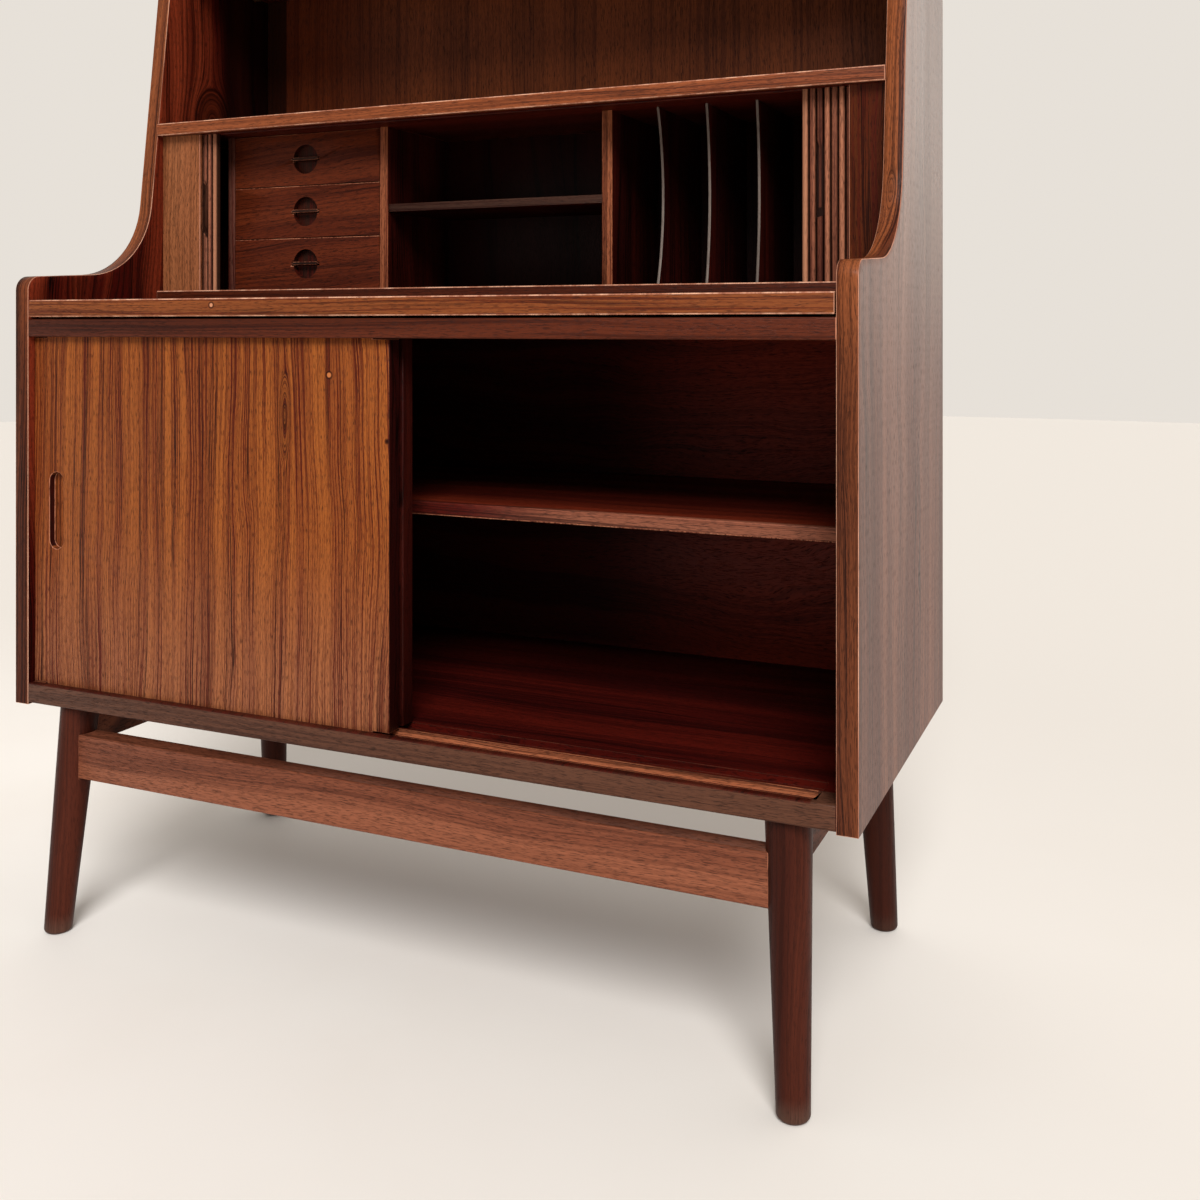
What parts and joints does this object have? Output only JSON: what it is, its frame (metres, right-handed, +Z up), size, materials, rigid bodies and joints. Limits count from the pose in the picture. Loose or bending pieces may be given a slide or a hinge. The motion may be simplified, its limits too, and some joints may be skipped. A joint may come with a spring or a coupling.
{
  "type": "bureau bookcase",
  "caption": "Free-standing bureau bookcase in dark veneer: open shelves over a writing section closed by tambours, a pull-out writing slide, and a cupboard with sliding doors on splayed legs.",
  "frame": {"origin": "on the floor, under the middle of the whole piece", "axes": "+Z up, +X along the front to the right as seen by a user, +Y from the front to the back"},
  "size_m": [1, 0.4581, 1.65],
  "materials": {
    "side_veneer": "rosewood veneer with a satin lacquer",
    "side_solid": "solid lipping, lacquered",
    "board_veneer": "rosewood veneer with a satin lacquer",
    "board_solid": "solid lipping, lacquered",
    "back_veneer": "rosewood veneer with a matt lacquer",
    "door_veneer": "straight grained rosewood veneer, satin lacquer",
    "drawer_veneer": "dark rosewood veneer, satin lacquer",
    "drawer_box_wood": "plain pale hardwood, matt",
    "pull_wood": "solid rosewood, lacquered",
    "slat_wood": "solid rosewood reeds, lacquered",
    "leg_wood": "turned solid rosewood, lacquered",
    "rail_wood": "solid rosewood, lacquered",
    "runner_wood": "waxed hardwood runner, matt",
    "steel": "zinc plated steel"
  },
  "bodies": {
    "root": {"left_side_panel": "side_veneer", "right_side_panel": "side_veneer", "left_side_lipping": "side_solid", "right_side_lipping": "side_solid", "bottom_board": "board_veneer", "bottom_board_lipping": "board_solid", "cupboard_top_board": "board_veneer", "cupboard_top_lipping": "board_solid", "desk_board": "board_veneer", "desk_board_lipping": "board_solid", "tambour_top_board": "board_veneer", "tambour_top_lipping": "board_solid", "top_board": "board_veneer", "top_board_lipping": "board_solid", "lower_back_panel": "back_veneer", "upper_back_panel": "back_veneer", "cupboard_shelf": "board_veneer", "cupboard_shelf_lipping": "board_solid", "lower_bookshelf": "board_veneer", "upper_bookshelf": "board_veneer", "bookshelf_lippings": "board_solid", "shelf_pins": "steel", "slide_runners": "runner_wood", "unit_end_walls": "board_veneer", "drawer_divider": "board_veneer", "rack_wall": "board_veneer", "unit_back": "back_veneer", "pigeonhole_shelf": "board_veneer", "letter_slips": "board_veneer", "drawer_runners": "runner_wood", "left_filler": "door_veneer", "right_filler": "door_veneer", "left_tambour_tail": "slat_wood", "right_tambour_tail": "slat_wood", "left_front_leg": "leg_wood", "left_rear_leg": "leg_wood", "right_front_leg": "leg_wood", "right_rear_leg": "leg_wood", "front_rail": "rail_wood", "rear_rail": "rail_wood", "side_rails": "rail_wood", "case_screws": "steel"},
    "front_door": {"front_door": "door_veneer"},
    "rear_door": {"rear_door": "door_veneer"},
    "writing_slide": {"writing_slide": "door_veneer", "writing_slide_lipping": "board_solid"},
    "left_tambour": {"left_tambour_stile": "slat_wood", "left_tambour_slats": "slat_wood"},
    "right_tambour": {"right_tambour_stile": "slat_wood", "right_tambour_slats": "slat_wood"},
    "top_drawer": {"top_drawer_front": "drawer_veneer", "top_drawer_box": "drawer_box_wood", "top_drawer_pull": "pull_wood"},
    "middle_drawer": {"middle_drawer_front": "drawer_veneer", "middle_drawer_box": "drawer_box_wood", "middle_drawer_pull": "pull_wood"},
    "bottom_drawer": {"bottom_drawer_front": "drawer_veneer", "bottom_drawer_box": "drawer_box_wood", "bottom_drawer_pull": "pull_wood"}
  },
  "joints": [
    {"name": "front_door_slide", "type": "slide", "parent": "root", "child": "front_door", "axis": [1, 0, 0], "range_m": [0, 0.465]},
    {"name": "rear_door_slide", "type": "slide", "parent": "root", "child": "rear_door", "axis": [1, 0, 0], "range_m": [0, 0.465]},
    {"name": "writing_slide_pull", "type": "slide", "parent": "root", "child": "writing_slide", "axis": [0, -1, 0], "range_m": [0, 0.17]},
    {"name": "top_drawer_slide", "type": "slide", "parent": "root", "child": "top_drawer", "axis": [0, -1, 0], "range_m": [0, 0.11]},
    {"name": "middle_drawer_slide", "type": "slide", "parent": "root", "child": "middle_drawer", "axis": [0, -1, 0], "range_m": [0, 0.11]},
    {"name": "bottom_drawer_slide", "type": "slide", "parent": "root", "child": "bottom_drawer", "axis": [0, -1, 0], "range_m": [0, 0.11]},
    {"name": "left_tambour_slide", "type": "slide", "parent": "root", "child": "left_tambour", "axis": [-1, 0, 0], "range_m": [-0.3957, 0], "deforming": ["left_tambour_tail"]},
    {"name": "right_tambour_slide", "type": "slide", "parent": "root", "child": "right_tambour", "axis": [1, 0, 0], "range_m": [-0.3877, 0], "deforming": ["right_tambour_tail"]}
  ]
}
